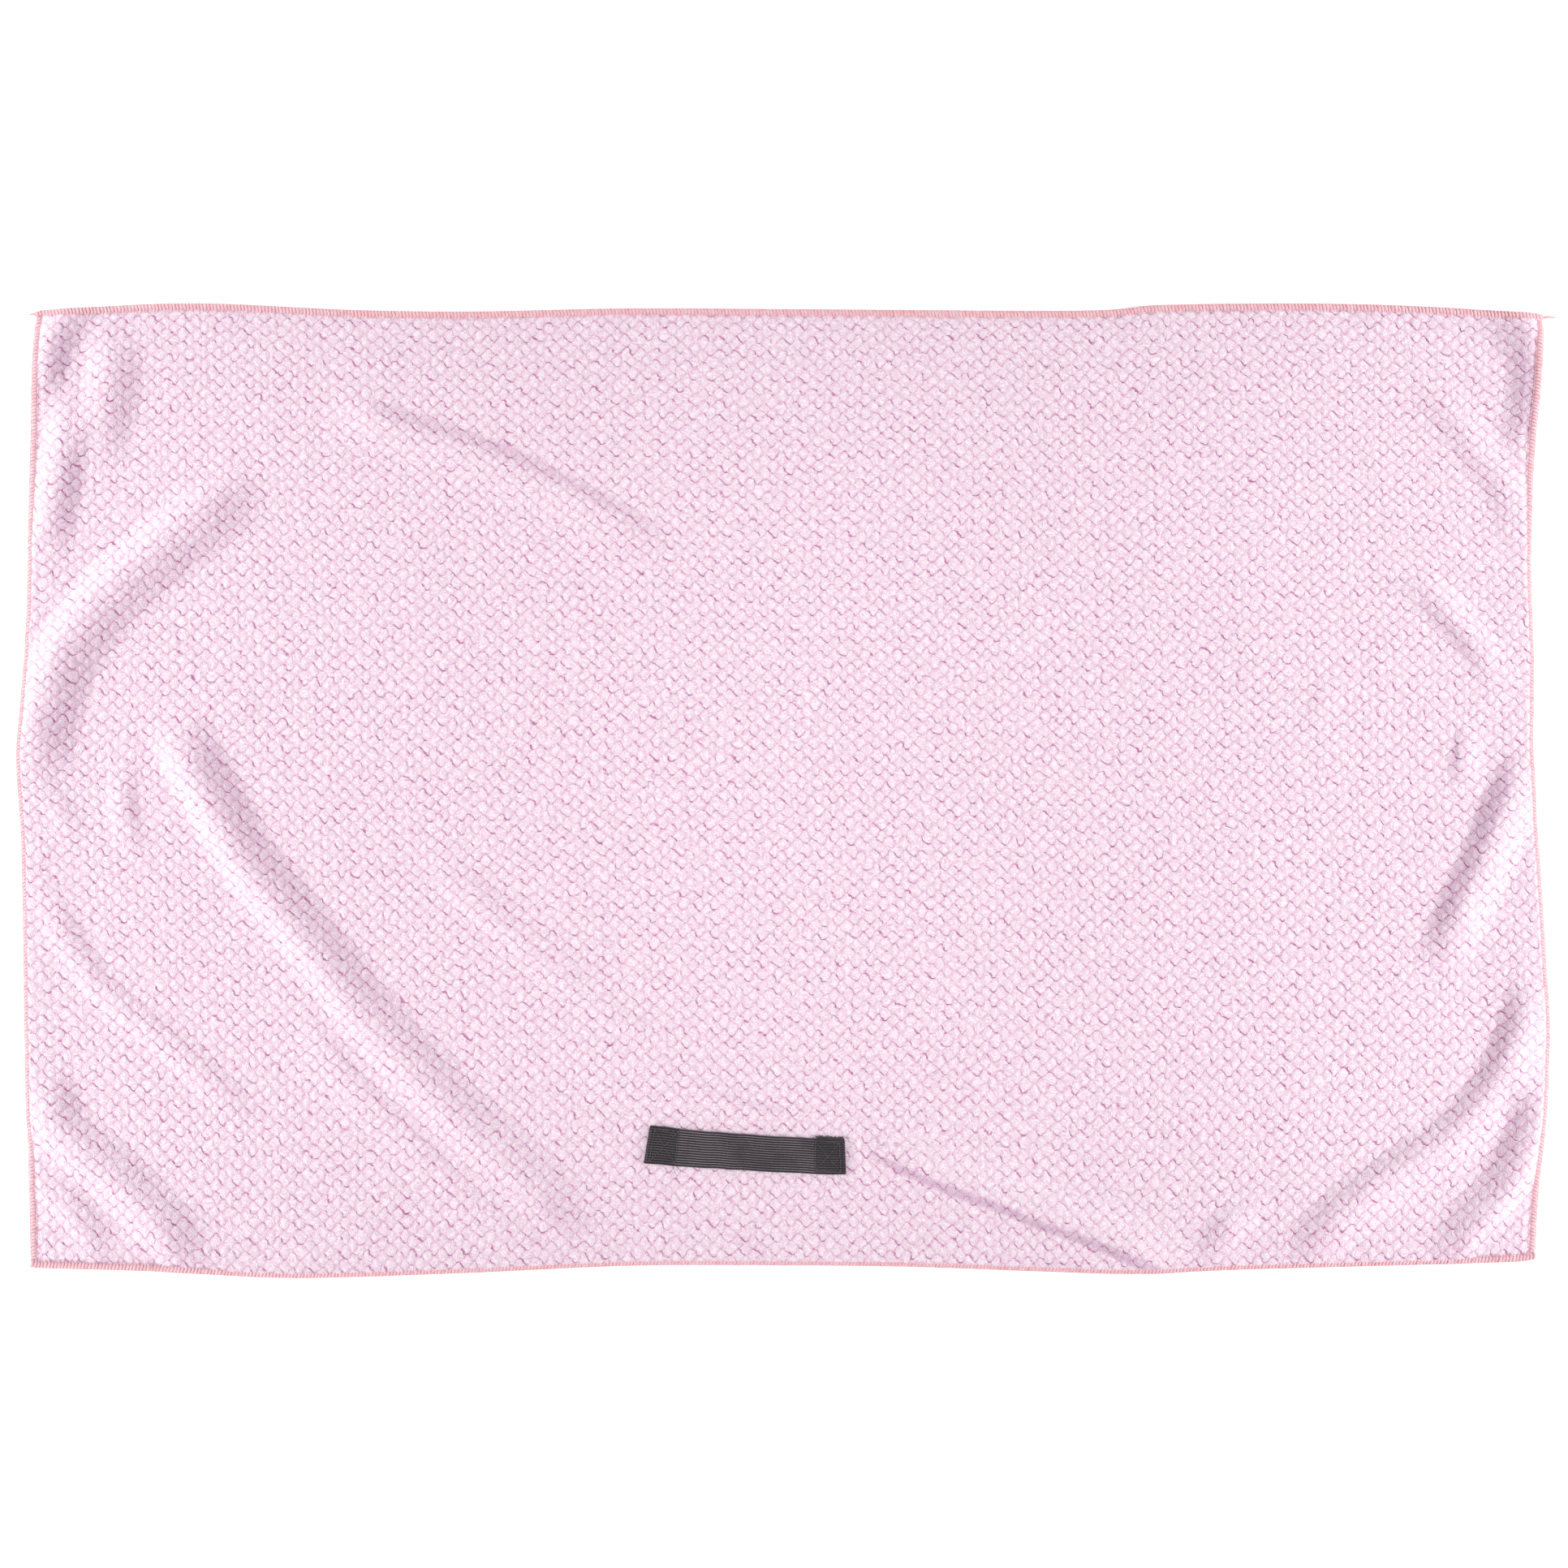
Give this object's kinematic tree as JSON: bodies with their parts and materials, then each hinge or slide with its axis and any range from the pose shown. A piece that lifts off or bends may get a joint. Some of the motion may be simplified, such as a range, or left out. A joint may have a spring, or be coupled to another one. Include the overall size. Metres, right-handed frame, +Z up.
{
  "type": "quick-dry towel",
  "caption": "Fleece quick-dry towel with a bound edge and a sewn elastic strap that holds it when rolled; its far third folds over the rest.",
  "frame": {"origin": "on the surface the towel lies on, under the middle of its outline", "axes": "+X along the towel's long side, +Y from the side with the strap towards the far long side, +Z up, out of the face that carries the strap"},
  "size_m": [1.1219, 0.7095, 0.0118],
  "materials": {
    "pink_fleece": "soft matt pile on both faces, knitted in small raised lumps",
    "salmon_overlock_thread": "soft thread with a slight sheen, wound over the cut edge",
    "black_elastic": "woven elastic with fine ribs along it, slight sheen",
    "black_thread": "polyester sewing thread, slight sheen"
  },
  "bodies": {
    "towel": {"cloth_main_panel": "pink_fleece", "overlock_near_edge": "salmon_overlock_thread", "overlock_left_main": "salmon_overlock_thread", "overlock_right_main": "salmon_overlock_thread", "strap_hem_left": "black_elastic", "strap_hem_right": "black_elastic", "strap_frayed_edge": "black_elastic", "box_stitch_left": "black_thread", "box_stitch_right": "black_thread", "bobbin_stitch_left": "black_thread", "bobbin_stitch_right": "black_thread", "strap_loose_thread": "black_thread"},
    "far_third": {"cloth_far_third": "pink_fleece", "overlock_far_edge": "salmon_overlock_thread", "overlock_left_far": "salmon_overlock_thread", "overlock_right_far": "salmon_overlock_thread", "thread_tail_far_right": "salmon_overlock_thread", "thread_tail_far_left": "salmon_overlock_thread"},
    "strap": {"strap_band": "black_elastic"}
  },
  "joints": [
    {"name": "fold_over", "type": "hinge", "parent": "towel", "child": "far_third", "pos_m": [0, 0.11667, 0.0105], "axis": [1, 0, 0], "range_deg": [0, 179]},
    {"name": "strap_stretch", "type": "slide", "parent": "towel", "child": "strap", "axis": [0, 0, 1], "range_m": [0, 0.035], "stiffness_N_per_m": 100}
  ]
}
